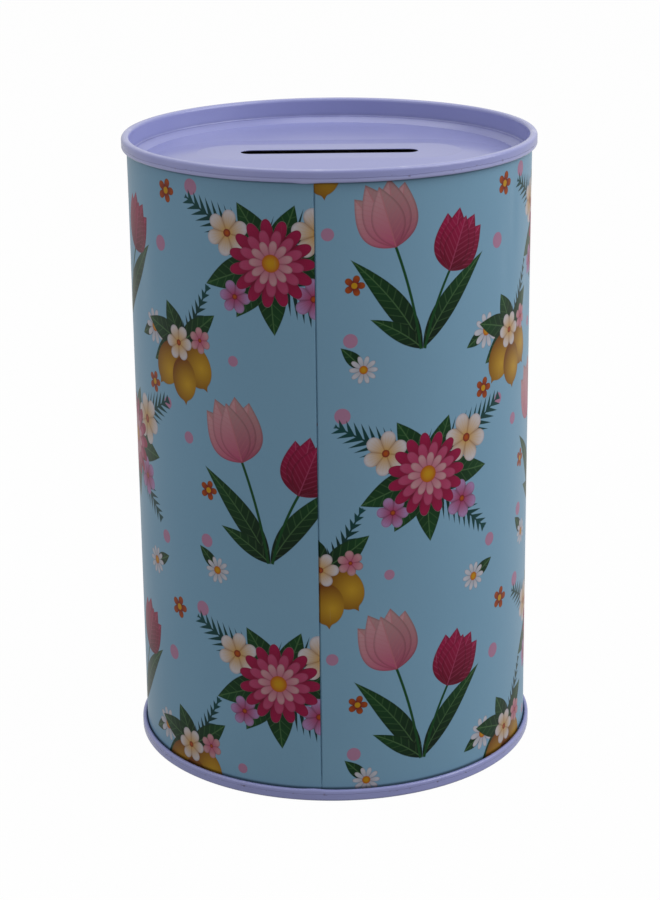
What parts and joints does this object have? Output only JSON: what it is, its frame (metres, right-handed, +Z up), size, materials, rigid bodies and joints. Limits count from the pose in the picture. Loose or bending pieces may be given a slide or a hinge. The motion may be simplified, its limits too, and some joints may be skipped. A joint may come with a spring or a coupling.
{
  "type": "money box",
  "caption": "Tall round tin money box: printed sheet-metal body, recessed top end with a coin slot, and a base end with a pull-out stopper.",
  "frame": {"origin": "centre of the base, on the surface that the tin stands on", "axes": "+Z up along the tin's axis, +X along the coin slot, -Y towards the front, where the side seam is"},
  "size_m": [0.1016, 0.1016, 0.156],
  "materials": {
    "printed_tin": "varnished printed tinplate",
    "end_enamel": "satin enamel on tinplate",
    "sealing_compound": "cured sealing compound",
    "stopper_plastic": "moulded polyethylene"
  },
  "bodies": {
    "tin": {"body_shell": "printed_tin", "slotted_top_end": "end_enamel", "base_end": "end_enamel", "top_seam_compound": "sealing_compound", "base_seam_compound": "sealing_compound"},
    "stopper": {"outlet_stopper": "stopper_plastic"}
  },
  "joints": [
    {"name": "stopper_pull", "type": "slide", "parent": "tin", "child": "stopper", "axis": [0, 0, -1], "range_m": [0, 0.022]}
  ]
}
